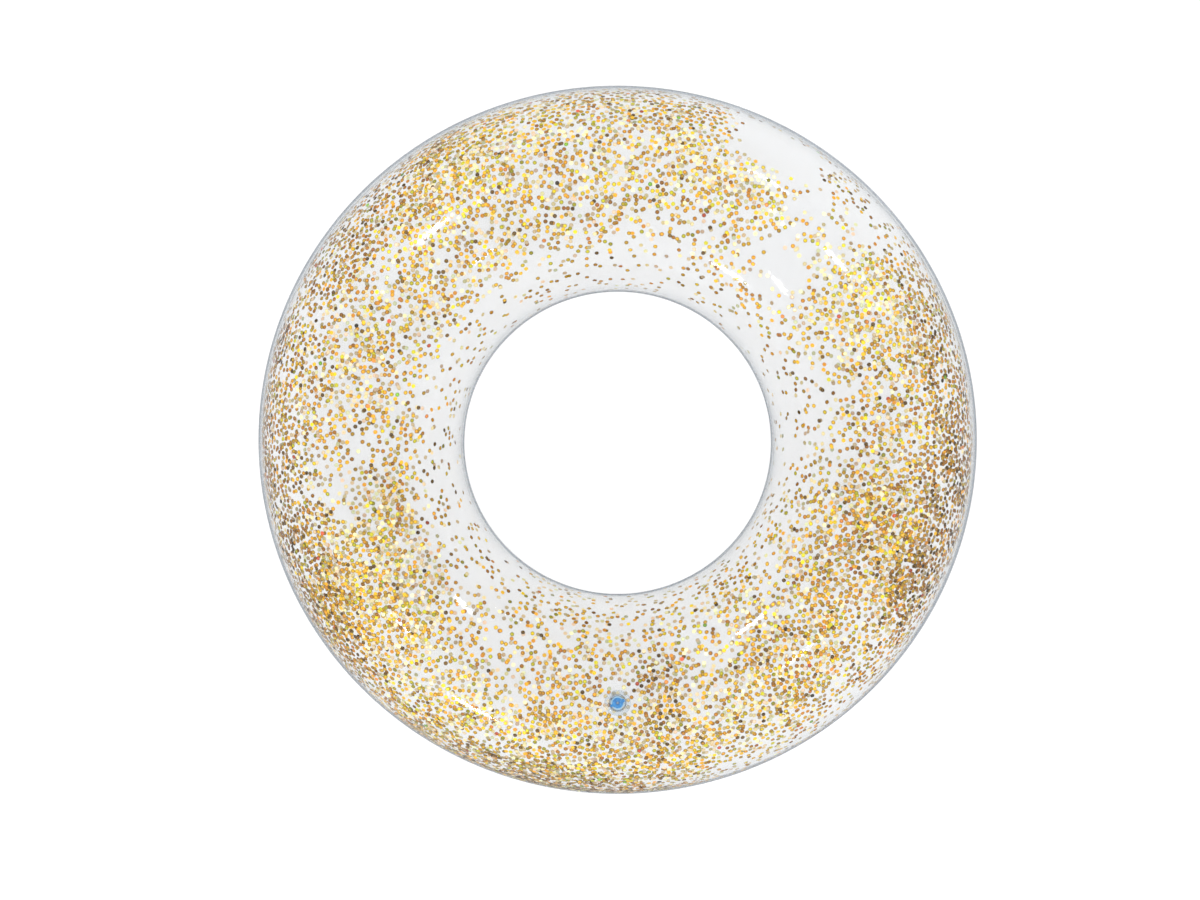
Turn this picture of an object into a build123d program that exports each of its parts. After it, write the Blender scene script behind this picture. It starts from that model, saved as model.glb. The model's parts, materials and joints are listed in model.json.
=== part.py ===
"""Clear inflatable swim ring with loose sequins in its air chamber and one push-in valve.

Two annular sheets of clear PVC are welded along the outer and the inner rim. The chamber holds
round metallised sequins. A soft valve sits in the upper sheet: a flange welded under the sheet,
a rolling boot, a stem with a check flap at its foot, and a tethered stopper. The valve is drawn
pushed in and shut.

Units are millimetres. +Z is up, the ring lies flat, and the origin is on the floor below the
centre of the hole. The valve is on the -Y side.
"""

import os
from math import asin, cos, degrees, radians, sin, sqrt

from build123d import *

# ---------------------------------------------------------------- ring
ring_outer_diameter = 1050.0  # over the outer weld rim
ring_hole_diameter = 448.0  # inside the inner weld rim
outer_rim_width = 4.0  # flat weld round the outside
inner_rim_width = 3.0  # flat weld round the hole
sheet_thickness = 0.5
resting_band_width = 24.0  # where the lower sheet flattens on the floor

tube_outer_reach = ring_outer_diameter / 2 - outer_rim_width
tube_inner_reach = ring_hole_diameter / 2 + inner_rim_width
tube_radius = (tube_outer_reach - tube_inner_reach) / 2
tube_centre_radius = (tube_outer_reach + tube_inner_reach) / 2
air_radius = tube_radius - sheet_thickness
seam_height = sqrt(tube_radius**2 - (resting_band_width / 2) ** 2)

# ---------------------------------------------------------------- valve stem
# Heights in the valve are along its axis, from the outer face of the sheet.
valve_lean = 7.0  # degrees from the crest of the tube towards the hole
mouth_radius = 4.75  # bore that a pump's nozzle enters
stem_wall = 1.85
stem_length = 21.1
lip_overhang = 3.2
lip_thickness = 1.7
lip_top = -0.9
lip_edge_rounding = 0.4
collar_overhang = 0.8  # where the boot's floor joins the stem
collar_height = 1.6
seat_width = 0.85  # the check flap's seat, inside the stem's foot
seat_height = 1.2

neck_radius = mouth_radius + stem_wall
lip_radius = neck_radius + lip_overhang
lip_bottom = lip_top - lip_thickness
foot_height = lip_top - stem_length

# ---------------------------------------------------------------- stopper and its strap
resting_gap = 0.05  # between faces that only rest on each other
cap_inset = 2.1  # the cap's edge, in from the lip's edge
cap_thickness = 2.0
cap_edge_rounding = 0.9
plug_clearance = 0.25  # between the plug and the mouth, all round
plug_swing_gap = 0.1  # between the plug and the far side of the mouth as it swings out
plug_straight = 1.6
plug_depth = 6.5
plug_nose = 0.8
dimple_radius = 2.2  # moulded hollow in the middle of the cap
dimple_depth = 4.6
pull_tab_reach = 3.2
pull_tab_width = 5.0
pull_tab_thickness = 1.0
pull_tab_corner = 1.2
strap_bearing = 205.0  # degrees round the valve, from +X
strap_width = 4.2
strap_thickness = 0.85
strap_bend_radius = 0.9  # inside the bend below the lip
strap_side_gap = 0.5  # between the lip's edge and the strap that passes it
strap_under_gap = 0.4  # between the lip and the strap that passes under it
strap_knuckle_cover = 0.02  # how far the living hinge stands past the strap's corners
hinge_gap = 0.1
strap_ring_wall = 1.6
strap_ring_height = 1.5

cap_underside = lip_top + resting_gap
cap_top = cap_underside + cap_thickness
cap_radius = lip_radius - cap_inset
plug_radius = mouth_radius - plug_clearance
plug_bottom = cap_underside - plug_depth
strap_inside = lip_radius + strap_side_gap
strap_hinge_reach = strap_inside + strap_thickness / 2
strap_hinge_height = cap_underside + strap_thickness / 2
strap_knuckle_radius = strap_thickness / sqrt(2) + strap_knuckle_cover
strap_run_top = lip_bottom - strap_under_gap
strap_run_bottom = strap_run_top - strap_thickness

# The plug's far side has to stay inside the circle that it swings on to clear the mouth.
plug_swing_radius = strap_hinge_reach + mouth_radius - plug_swing_gap
plug_tip_drop = strap_hinge_height - plug_bottom
plug_tip_radius = sqrt(plug_swing_radius**2 - plug_tip_drop**2) - strap_hinge_reach

# ---------------------------------------------------------------- boot and flange
well_gap = 1.15  # between the strap and the boot
boot_wall = 0.7
boot_depth = 14.2
boot_draft = 1.6  # how much narrower the boot is at its floor
boot_floor_rounding = 1.5
boot_rim_drop = 0.7  # the boot's rim, below the outer face of the sheet
boot_rim_height = 1.7
flange_width = 6.25
flange_thickness = 0.8
sheet_hole_clearance = 0.5  # between the boot's rim and the hole in the sheet

well_radius = strap_inside + strap_thickness + well_gap
boot_rim_radius = well_radius + boot_wall
boot_floor_radius = boot_rim_radius - boot_draft
boot_floor = -boot_depth
collar_radius = neck_radius + collar_overhang
collar_bottom = boot_floor + (boot_wall - collar_height) / 2
flange_radius = boot_rim_radius + flange_width

# ---------------------------------------------------------------- check flap
flap_bearing = 25.0
flap_edge_inset = 1.2  # the flap's edge, in from the outside of the stem
flap_thickness = 0.7
flap_width_at_hinge = 4.0
flap_knuckle_radius = 0.5
flap_knuckle_gap = 0.2  # between the knuckle and the outside of the stem
lug_height = 3.0
lug_neck = 0.8  # the lug's thickness above the knuckle

flap_radius = neck_radius - flap_edge_inset
flap_top = foot_height - resting_gap
flap_middle = flap_top - flap_thickness / 2
flap_hinge_reach = neck_radius + flap_knuckle_gap + flap_knuckle_radius

# ---------------------------------------------------------------- sequins
sequin_diameter = 6.2
sequin_thickness = 0.15
sequin_gap = 0.9  # from the inside face of the sheet
sequins_per_colour = 40
sequin_colours = ("gold", "amber", "copper", "bronze", "lemon", "lime")
valve_keep_out = 32.0
golden_turn = 180.0 * (3.0 - sqrt(5.0))  # degrees round the ring from one sequin to the next

# ---------------------------------------------------------------- planes and axes
ring_section = Plane(origin=(0, 0, seam_height), x_dir=(1, 0, 0), z_dir=(0, -1, 0))
valve_normal = Vector(0, sin(radians(valve_lean)), cos(radians(valve_lean)))
valve_origin = Vector(0, -tube_centre_radius, seam_height) + valve_normal * tube_radius
valve_axis = Axis(valve_origin, valve_normal)
valve_plane = Plane(origin=valve_origin, x_dir=(1, 0, 0), z_dir=valve_normal)


def section_at(bearing):
    """The plane through the valve's axis at a bearing: x runs outwards, y along the axis."""
    outwards = Vector(1, 0, 0).rotate(Axis((0, 0, 0), valve_normal), bearing)
    return Plane(origin=valve_origin, x_dir=outwards, z_dir=outwards.cross(valve_normal))


valve_section = section_at(0)
strap_section = section_at(strap_bearing)
tab_section = section_at(strap_bearing + 180)
flap_section = section_at(flap_bearing)

os.makedirs("parts", exist_ok=True)


def write(builder, name):
    """Labels a finished piece and writes it as its own node."""
    builder.part.label = name
    export_step(builder.part, f"parts/{name}.step")


# ---------------------------------------------------------------- sheets
tube_centre = (tube_centre_radius, 0)
rims = (  # from, to: each starts inside the sheet so that the two are one solid
    (tube_centre_radius + air_radius, ring_outer_diameter / 2),
    (ring_hole_diameter / 2, tube_centre_radius - air_radius),
)

with BuildPart() as upper_sheet:
    with BuildSketch(ring_section):
        with BuildLine():
            outside = CenterArc(tube_centre, tube_radius, 0, 180)
            inside = CenterArc(tube_centre, air_radius, 0, 180)
            Line(outside @ 0, inside @ 0)
            Line(outside @ 1, inside @ 1)
        make_face()
        for rim_start, rim_end in rims:
            with Locations((rim_start, 0)):
                Rectangle(rim_end - rim_start, sheet_thickness, align=(Align.MIN, Align.MIN))
    revolve(axis=Axis.Z)
    with BuildSketch(valve_plane):
        Circle(boot_rim_radius + sheet_hole_clearance)
    extrude(amount=flange_radius, both=True, mode=Mode.SUBTRACT)
write(upper_sheet, "upper_sheet")

# The lower sheet is the same, but it lies flat where the ring rests on the floor.
outer_flat_angle = degrees(asin(resting_band_width / 2 / tube_radius))
inner_flat_half = sqrt(air_radius**2 - (seam_height - sheet_thickness) ** 2)
inner_flat_angle = degrees(asin(inner_flat_half / air_radius))

with BuildPart() as lower_sheet:
    with BuildSketch(ring_section):
        with BuildLine():
            hole_side = CenterArc(tube_centre, tube_radius, 180, 90 - outer_flat_angle)
            far_side = CenterArc(tube_centre, tube_radius, 270 + outer_flat_angle, 90 - outer_flat_angle)
            Line(hole_side @ 1, far_side @ 0)
            hole_side_air = CenterArc(tube_centre, air_radius, 180, 90 - inner_flat_angle)
            far_side_air = CenterArc(tube_centre, air_radius, 270 + inner_flat_angle, 90 - inner_flat_angle)
            Line(hole_side_air @ 1, far_side_air @ 0)
            Line(hole_side @ 0, hole_side_air @ 0)
            Line(far_side @ 1, far_side_air @ 1)
        make_face()
        for rim_start, rim_end in rims:
            with Locations((rim_start, 0)):
                Rectangle(rim_end - rim_start, sheet_thickness, align=(Align.MIN, Align.MAX))
    revolve(axis=Axis.Z)
write(lower_sheet, "lower_sheet")

# ---------------------------------------------------------------- valve flange
# A disc that follows the inside of the sheet, with the boot's rim in its bore.
flange_arc = 3 * degrees(asin(flange_radius / tube_radius))  # wider than the disc

with BuildPart() as valve_flange:
    with BuildSketch(ring_section):
        with BuildLine():
            flange_top = CenterArc(tube_centre, air_radius, 90 + valve_lean - flange_arc / 2, flange_arc)
            flange_under = CenterArc(
                tube_centre, air_radius - flange_thickness, 90 + valve_lean - flange_arc / 2, flange_arc
            )
            Line(flange_top @ 0, flange_under @ 0)
            Line(flange_top @ 1, flange_under @ 1)
        make_face()
    revolve(axis=Axis.Z)
    with BuildSketch(valve_plane):
        Circle(flange_radius)
        Circle(boot_rim_radius, mode=Mode.SUBTRACT)
    extrude(amount=flange_radius, both=True, mode=Mode.INTERSECT)
write(valve_flange, "valve_flange")

# ---------------------------------------------------------------- valve boot
boot_rim_top = -boot_rim_drop
boot_rim_bottom = boot_rim_top - boot_rim_height

with BuildPart() as valve_boot:
    with BuildSketch(valve_section) as boot_profile:
        with BuildLine():
            Polyline(
                (boot_rim_radius, boot_rim_top),
                (boot_rim_radius, boot_rim_bottom),
                (boot_floor_radius, boot_floor),
                (collar_radius, boot_floor),
                (collar_radius, boot_floor + boot_wall),
                (boot_floor_radius - boot_wall, boot_floor + boot_wall),
                (well_radius, boot_rim_bottom),
                (well_radius, boot_rim_top),
                close=True,
            )
        make_face()
        floor_corner = boot_profile.vertices().group_by(Axis.Y)[0].sort_by(Axis.X)[-1]
        fillet(floor_corner, boot_floor_rounding)
        well_corner = boot_profile.vertices().group_by(Axis.Y)[1].sort_by(Axis.X)[-1]
        fillet(well_corner, boot_floor_rounding - boot_wall)
    revolve(axis=valve_axis)
write(valve_boot, "valve_boot")

# ---------------------------------------------------------------- valve stem
with BuildPart() as valve_stem:
    with BuildSketch(valve_section) as stem_profile:
        with BuildLine():
            Polyline(
                (mouth_radius, lip_top),
                (lip_radius, lip_top),
                (lip_radius, lip_bottom),
                (neck_radius, lip_bottom),
                (neck_radius, foot_height),
                (mouth_radius - seat_width, foot_height),
                (mouth_radius - seat_width, foot_height + seat_height),
                (mouth_radius, foot_height + seat_height),
                close=True,
            )
        make_face()
        lip_edge = stem_profile.vertices().sort_by(Axis.X)[-2:]
        fillet(lip_edge, lip_edge_rounding)
        with Locations((neck_radius, collar_bottom)):
            Rectangle(collar_overhang, collar_height, align=(Align.MIN, Align.MIN))
    revolve(axis=valve_axis)
    # the lug that carries the check flap's hinge
    lug_outside = flap_hinge_reach + flap_knuckle_radius
    lug_root = foot_height + lug_height / 3
    with BuildSketch(flap_section):
        with BuildLine():
            Polyline(
                (neck_radius - stem_wall / 2, lug_root),
                (lug_outside - lug_neck, lug_root),
                (lug_outside - lug_neck, flap_middle),
                (lug_outside, flap_middle),
                (lug_outside, lug_root + lug_height / 3),
                (neck_radius - stem_wall / 2, foot_height + lug_height),
                close=True,
            )
        make_face()
        with Locations((flap_hinge_reach, flap_middle)):
            Circle(flap_knuckle_radius)
    extrude(amount=flap_width_at_hinge / 2, both=True)
write(valve_stem, "valve_stem")

# ---------------------------------------------------------------- strap ring
# The ring grips the stem's neck. Its half of the strap passes under and up round the lip, and
# ends in the knuckle of a living hinge.
strap_ring_bottom = strap_run_bottom - (strap_ring_height - strap_thickness) / 2
strap_root = neck_radius + strap_ring_wall / 2

with BuildPart() as strap_ring:
    with BuildSketch(valve_section):
        with Locations((neck_radius, strap_ring_bottom)):
            Rectangle(strap_ring_wall, strap_ring_height, align=(Align.MIN, Align.MIN))
    revolve(axis=valve_axis)
    with BuildSketch(strap_section):
        with BuildLine():
            bend_centre = (strap_inside - strap_bend_radius, strap_run_top + strap_bend_radius)
            bend_inside = CenterArc(bend_centre, strap_bend_radius, -90, 90)
            bend_outside = CenterArc(bend_centre, strap_bend_radius + strap_thickness, -90, 90)
            Polyline(
                bend_inside @ 0,
                (strap_root, strap_run_top),
                (strap_root, strap_run_bottom),
                bend_outside @ 0,
            )
            Polyline(
                bend_inside @ 1,
                (strap_inside, strap_hinge_height),
                (strap_inside + strap_thickness, strap_hinge_height),
                bend_outside @ 1,
            )
        make_face()
        with Locations((strap_hinge_reach, strap_hinge_height)):
            Circle(strap_knuckle_radius)
    extrude(amount=strap_width / 2, both=True)
write(strap_ring, "strap_ring")

# ---------------------------------------------------------------- stopper
with BuildPart() as stopper:
    with BuildSketch(valve_section) as stopper_profile:
        with BuildLine():
            Polyline(
                (0, cap_top - dimple_depth),
                (dimple_radius, cap_top - dimple_depth),
                (dimple_radius, cap_top),
                (cap_radius, cap_top),
                (cap_radius, cap_underside),
                (plug_radius, cap_underside),
                (plug_radius, cap_underside - plug_straight),
                (plug_tip_radius, plug_bottom),
                (0, plug_bottom),
                close=True,
            )
        make_face()
        cap_edge = stopper_profile.vertices().group_by(Axis.Y)[-1].sort_by(Axis.X)[-1]
        fillet(cap_edge, cap_edge_rounding)
        plug_edge = stopper_profile.vertices().group_by(Axis.Y)[0].sort_by(Axis.X)[-1]
        chamfer(plug_edge, plug_nose)
    revolve(axis=valve_axis)
    # the strap from the cap to its hinge
    strap_start = cap_radius - cap_edge_rounding
    with BuildSketch(strap_section):
        with Locations((strap_start, cap_underside)):
            Rectangle(
                strap_hinge_reach - strap_start, strap_thickness, align=(Align.MIN, Align.MIN)
            )
        with Locations((strap_hinge_reach, strap_hinge_height)):
            Circle(strap_knuckle_radius + hinge_gap, mode=Mode.SUBTRACT)
    extrude(amount=strap_width / 2, both=True)
    # the pull tab on the other side
    tab_plane = Plane(
        origin=valve_origin + valve_normal * cap_underside, x_dir=tab_section.x_dir, z_dir=valve_normal
    )
    with BuildSketch(tab_plane) as tab_outline:
        Rectangle(cap_radius + pull_tab_reach, pull_tab_width, align=(Align.MIN, Align.CENTER))
        fillet(tab_outline.vertices().group_by(Axis.X)[-1], pull_tab_corner)
        Circle(plug_radius, mode=Mode.SUBTRACT)
    extrude(amount=pull_tab_thickness)
write(stopper, "stopper")

# ---------------------------------------------------------------- check flap
flap_plane = Plane(
    origin=valve_origin + valve_normal * flap_top, x_dir=flap_section.x_dir, z_dir=-valve_normal
)

with BuildPart() as check_flap:
    with BuildSketch(flap_plane):
        Circle(flap_radius)
        Rectangle(flap_hinge_reach, flap_width_at_hinge, align=(Align.MIN, Align.CENTER))
    extrude(amount=flap_thickness)
    with BuildSketch(flap_section):
        with Locations((flap_hinge_reach, flap_middle)):
            Circle(flap_knuckle_radius + hinge_gap)
    extrude(amount=flap_width_at_hinge, both=True, mode=Mode.SUBTRACT)
write(check_flap, "check_flap")


# ---------------------------------------------------------------- sequins
def sequin_plane(index, count):
    """Where a sequin lies: just inside the sheets, on a spiral that spreads them evenly."""
    ring_angle = radians(index * golden_turn)
    tube_angle = radians(360 * (index + 0.5) / count)
    away = Vector(cos(ring_angle), sin(ring_angle), 0)
    outwards = away * cos(tube_angle) + Vector(0, 0, sin(tube_angle))
    middle = away * tube_centre_radius + Vector(0, 0, seam_height)
    around = Vector(-sin(ring_angle), cos(ring_angle), 0)
    depth = air_radius - sequin_gap - sequin_thickness / 2
    return Plane(origin=middle + outwards * depth, x_dir=around, z_dir=outwards)


sequin_count = sequins_per_colour * len(sequin_colours)
sequin_planes = [sequin_plane(index, sequin_count) for index in range(sequin_count)]

for number, colour in enumerate(sequin_colours):
    places = [
        plane
        for plane in sequin_planes[number :: len(sequin_colours)]
        if (plane.origin - valve_origin).length > valve_keep_out
    ]
    with BuildPart() as sequins:
        with Locations(*places):
            Cylinder(sequin_diameter / 2, sequin_thickness)
    write(sequins, f"sequins_{colour}")
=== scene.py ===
# %% [markdown]
# # A clear swim ring full of gold sequins
# The object is an inflated ring of clear PVC film, 1.05 m across, with thousands of loose
# metallised sequins clinging to the inside of the film and one small push-in valve.
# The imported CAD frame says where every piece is, so each piece below is placed from it.

# %% Load the frame
import json
from math import cos, exp, hypot, pi, radians, sin, tau

import bpy
import numpy as np
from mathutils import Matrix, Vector, noise


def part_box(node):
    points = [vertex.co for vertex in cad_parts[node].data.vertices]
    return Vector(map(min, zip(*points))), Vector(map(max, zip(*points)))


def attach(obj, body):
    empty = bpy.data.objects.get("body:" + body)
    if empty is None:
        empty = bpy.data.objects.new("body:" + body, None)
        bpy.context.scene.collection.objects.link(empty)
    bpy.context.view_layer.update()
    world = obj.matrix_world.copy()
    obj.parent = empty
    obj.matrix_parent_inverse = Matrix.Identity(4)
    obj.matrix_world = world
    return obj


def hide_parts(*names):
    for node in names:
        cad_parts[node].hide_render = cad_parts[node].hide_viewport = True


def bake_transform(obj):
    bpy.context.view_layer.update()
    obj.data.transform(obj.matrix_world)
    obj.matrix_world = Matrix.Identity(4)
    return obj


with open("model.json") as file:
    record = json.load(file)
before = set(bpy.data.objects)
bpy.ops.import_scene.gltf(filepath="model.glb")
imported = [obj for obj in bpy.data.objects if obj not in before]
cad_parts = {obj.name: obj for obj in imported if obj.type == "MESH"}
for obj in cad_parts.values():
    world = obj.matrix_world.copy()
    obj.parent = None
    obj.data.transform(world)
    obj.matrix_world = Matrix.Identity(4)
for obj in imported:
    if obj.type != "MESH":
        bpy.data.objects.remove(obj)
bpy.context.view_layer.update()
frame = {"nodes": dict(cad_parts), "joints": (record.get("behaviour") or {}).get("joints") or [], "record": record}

# %% [markdown]
# ## Sizes taken from the frame
# A tube bent into a circle needs three numbers: the height of its middle line, the radius of
# the tube, and the radius of the circle that it is bent along. The upper sheet is the upper
# half of the tube, so its box gives the height and the outer reach. The tube's radius and the
# widths of the two welded rims give the rest.

# %% Sizes of the ring
MM = 0.001
outer_rim = 4.0 * MM
inner_rim = 3.0 * MM
film = 0.5 * MM
upper_low, upper_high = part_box("upper_sheet")
seam_height = upper_low[2]
ring_reach = upper_high[0]
tube_radius = 147.0 * MM
ring_radius = ring_reach - outer_rim - tube_radius
hole_reach = ring_radius - tube_radius - inner_rim
print(f"tube {2 * tube_radius:.3f} m thick on a circle {2 * ring_radius:.3f} m across")

# %% Sizes of the valve
joints = {joint["name"]: joint for joint in frame["joints"]}
mounts = {mount["name"]: mount for mount in frame["record"]["mounts"]}
valve_up = Vector(joints["valve_pop"]["axis"])
valve_right = Vector((1, 0, 0))
valve_away = valve_up.cross(valve_right)
mouth_below_skin = 0.9 * MM
valve_middle = Vector(mounts["pump_nozzle"]["pos_m"]) + valve_up * mouth_below_skin
skin_hole_radius = 13.5 * MM
valve_ring_angle = 1.5 * pi
valve_tube_angle = pi / 2 + radians(7.0)
valve_calm = 45.0 * MM
print("the valve's axis meets the film at", [round(c, 4) for c in valve_middle])

# %% [markdown]
# ## Where a point of the skin is
# Every piece on or under the film is placed by two angles: one round the ring, one round the
# tube. The skin isn't a perfect tube. The flat sheets had to gather along the outer weld when
# the ring was blown up, so small puckers run in from it and fade towards the crest, and the
# whole tube swells and narrows a little. One function holds all of that, so the film, the
# flange and the sequins agree to the last tenth of a millimetre.

# %% The skin as a function of two angles
swell_depth = 0.9 * MM  # how far the whole tube swells or narrows
crimp_depth = 0.7 * MM  # the short crimps beside the outer weld
fold_depth = 0.35 * MM  # the longer folds that run in from a weld
weld_still = 0.02  # radians from a weld within which the skin stays where it is


def pucker(ring_angle, tube_angle):
    """How far the skin stands in or out from a true tube, in metres."""
    x, y = cos(ring_angle), sin(ring_angle)
    swell = noise.noise(Vector((x * 1.7, y * 1.7, tube_angle * 0.55))) * swell_depth
    from_outer_weld = abs((tube_angle + pi) % tau - pi)
    from_inner_weld = pi - from_outer_weld
    fine = noise.noise(Vector((x * 17.0, y * 17.0, 3.1)))
    fine += 0.5 * noise.noise(Vector((x * 41.0, y * 41.0, 7.7)))
    fold = noise.noise(Vector((x * 9.0, y * 9.0, 11.0)))
    outer = -abs(fine) * crimp_depth * exp(-((from_outer_weld / 0.12) ** 2))
    reach = 0.26 + 0.16 * fold
    outer -= max(fine, 0.0) * fold_depth * exp(-((from_outer_weld / reach) ** 2))
    inner = -abs(fine) * fold_depth * exp(-((from_inner_weld / 0.15) ** 2))
    still = exp(-((from_outer_weld / weld_still) ** 2))
    still += exp(-((from_inner_weld / weld_still) ** 2))
    along = (ring_angle % tau - valve_ring_angle) * ring_radius
    across = (tube_angle - valve_tube_angle) * tube_radius
    from_valve = hypot(along, across) / valve_calm
    still += exp(-(from_valve**6)) if from_valve < 2.0 else 0.0
    return (swell + outer + inner) * max(0.0, 1.0 - still)


def skin_point(ring_angle, tube_angle, lift=0.0):
    """A point of the skin, or one that stands lift metres out from it."""
    reach = tube_radius + pucker(ring_angle, tube_angle) + lift
    from_axis = ring_radius + reach * cos(tube_angle)
    height = max(seam_height + reach * sin(tube_angle), -lift)
    return Vector((from_axis * cos(ring_angle), from_axis * sin(ring_angle), height))


def skin_angles(point):
    """The two angles of the skin nearest to a point."""
    from_axis = hypot(point[0], point[1]) - ring_radius
    ring_angle = float(np.arctan2(point[1], point[0]))
    return ring_angle, float(np.arctan2(point[2] - seam_height, from_axis))


def round_valve(bearing, radius, height=0.0):
    """A point by its bearing and distance from the valve's axis and its height along it."""
    outwards = valve_right * cos(bearing) + valve_away * sin(bearing)
    return valve_middle + outwards * radius + valve_up * height


# %% A helper that turns points and faces into a piece
def make_piece(name, points, faces, material, smooth=True):
    """A mesh object in the scene, in metres, in the frame's own place."""
    mesh = bpy.data.meshes.new(name)
    mesh.from_pydata([tuple(p) for p in points], [], faces)
    mesh.validate()
    mesh.polygons.foreach_set("use_smooth", [smooth] * len(mesh.polygons))
    mesh.materials.append(material)
    piece = bpy.data.objects.new(name, mesh)
    bpy.context.scene.collection.objects.link(piece)
    print(f"{name}: {len(mesh.vertices)} points, {len(mesh.polygons)} faces")
    return piece


# %% [markdown]
# ## Camera
# A long lens from far off keeps the ring nearly round. The ring lies flat, so the camera hangs
# almost straight above it, tipped a little towards +Y.

# %% Camera
lens_distance = 22.1 * 0.375  # metres, a long way off for an object this size
tip = radians(9.71)
ring_middle = Vector((0.0, 0.0, seam_height))
camera_data = bpy.data.cameras.new("camera")
camera_data.sensor_width = 36.0
camera_data.lens = 170.1
camera_data.shift_x = -0.0147
camera_data.shift_y = -0.0054
camera_data.clip_start = 0.1
camera_data.clip_end = 100.0
camera = bpy.data.objects.new("camera", camera_data)
bpy.context.scene.collection.objects.link(camera)
camera.location = ring_middle + Vector((0.0, sin(tip), cos(tip))) * lens_distance
camera.rotation_euler = (-tip, 0.0, 0.0)
bpy.context.scene.camera = camera
print("camera", [round(c, 3) for c in camera.location])

# %% [markdown]
# ## Stage and light
# Clear film shows only what it bends and mirrors, so it needs something to mirror. The floor
# glows a little, like a light table, which keeps it white under the ring. Three soft boxes
# leave soft glints, and the sky is pale at the horizon and greyer overhead, so that foil discs
# that face up look deep gold and those that lean catch the light.


# %% Floor
def floor_material():
    """Matt and pale, with a glow of its own like a light table."""
    material = bpy.data.materials.new("stage_floor")
    material.use_nodes = True
    shader = material.node_tree.nodes["Principled BSDF"]
    shader.inputs["Base Color"].default_value = (0.30, 0.30, 0.30, 1.0)
    shader.inputs["Roughness"].default_value = 0.9
    shader.inputs["Specular IOR Level"].default_value = 0.0
    shader.inputs["Emission Color"].default_value = (1.0, 1.0, 1.0, 1.0)
    shader.inputs["Emission Strength"].default_value = 0.66
    return material


floor_reach = 45.0
floor = make_piece(
    "stage_floor",
    [(x * floor_reach, y * floor_reach, -0.0005) for x, y in ((-1, -1), (1, -1), (1, 1), (-1, 1))],
    [(0, 1, 2, 3)],
    floor_material(),
    smooth=False,
)

# %% Sky
world = bpy.data.worlds.new("studio")
bpy.context.scene.world = world
world.use_nodes = True
sky_nodes, sky_links = world.node_tree.nodes, world.node_tree.links
place = sky_nodes.new("ShaderNodeTexCoord")
split = sky_nodes.new("ShaderNodeSeparateXYZ")
grade = sky_nodes.new("ShaderNodeValToRGB")
grade.color_ramp.elements[0].position = 0.0
grade.color_ramp.elements[0].color = (1.0, 1.0, 1.0, 1.0)
grade.color_ramp.elements[1].position = 0.85
grade.color_ramp.elements[1].color = (0.90, 0.91, 0.93, 1.0)
middle_stop = grade.color_ramp.elements.new(0.16)
middle_stop.color = (0.93, 0.94, 0.95, 1.0)
sky_links.new(place.outputs["Generated"], split.inputs["Vector"])
sky_links.new(split.outputs["Z"], grade.inputs["Fac"])
sky_links.new(grade.outputs["Color"], sky_nodes["Background"].inputs["Color"])
sky_nodes["Background"].inputs["Strength"].default_value = 1.7
print("sky:", world.name)


# %% Soft boxes
def soft_box(name, place, aim, size, power, colour=(1.0, 1.0, 1.0)):
    """An area light in metres and watts, turned towards a point."""
    light = bpy.data.lights.new(name, "AREA")
    light.shape = "RECTANGLE"
    light.size, light.size_y = size
    light.energy = power
    light.color = colour
    lamp = bpy.data.objects.new(name, light)
    bpy.context.scene.collection.objects.link(lamp)
    lamp.location = place
    lamp.rotation_euler = (Vector(aim) - Vector(place)).to_track_quat("-Z", "Y").to_euler()


soft_box("key_box", (-2.6, 2.4, 4.6), (0, 0, 0.1), (0.5, 0.4), 45.0)
soft_box("right_box", (3.0, 1.9, 4.2), (0, 0, 0.1), (0.4, 0.4), 32.0)
soft_box("low_box", (-1.6, -3.6, 3.4), (0, 0, 0.1), (0.5, 0.3), 24.0, (1.0, 0.98, 0.95))
bpy.context.scene.view_settings.view_transform = "Standard"
bpy.context.scene.cycles.transparent_max_bounces = 28
bpy.context.scene.cycles.max_bounces = 10

# %% [markdown]
# ## Finishes that several materials share
# Soft PVC is never flawless. It has a faint orange-peel ripple from the calender rolls, and
# handling leaves hazy scuffs. Both are in one node group, so that the film, the clear valve and
# the blue stopper can use them with their own strengths.


# %% Node helpers
FLOAT, COLOUR = "NodeSocketFloat", "NodeSocketColor"


def new_group(name, inputs, outputs):
    """A shader node group; inputs with a number are floats, and those with None are colours."""
    group = bpy.data.node_groups.new(name, "ShaderNodeTree")
    for label, value in inputs:
        kind = COLOUR if value is None else FLOAT
        socket = group.interface.new_socket(name=label, in_out="INPUT", socket_type=kind)
        if value is not None:
            socket.default_value = value
    for label, kind in outputs:
        group.interface.new_socket(name=label, in_out="OUTPUT", socket_type=kind)
    return group, group.nodes.new("NodeGroupInput"), group.nodes.new("NodeGroupOutput")


def maths(nodes, links, operation, first, second, clamp=False):
    """A Math node between two sockets or numbers; gives its output."""
    node = nodes.new("ShaderNodeMath")
    node.operation = operation
    node.use_clamp = clamp
    for socket, value in zip(node.inputs, (first, second)):
        if isinstance(value, (int, float)):
            socket.default_value = value
        else:
            links.new(value, socket)
    return node.outputs[0]


def colour_mix(nodes, links, share, first, second):
    """A Mix node between two colours, each a socket or three numbers; gives its output."""
    node = nodes.new("ShaderNodeMix")
    node.data_type = "RGBA"
    links.new(share, node.inputs["Factor"])
    for socket, value in ((node.inputs["A"], first), (node.inputs["B"], second)):
        if isinstance(value, tuple):
            socket.default_value = (*value, 1.0)
        else:
            links.new(value, socket)
    return node.outputs["Result"]


def span_of(nodes, links, value, low, high):
    """A Map Range node from 0..1 to low..high; gives its output."""
    node = nodes.new("ShaderNodeMapRange")
    node.inputs["To Min"].default_value = low
    node.inputs["To Max"].default_value = high
    links.new(value, node.inputs["Value"])
    return node.outputs["Result"]


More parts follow.
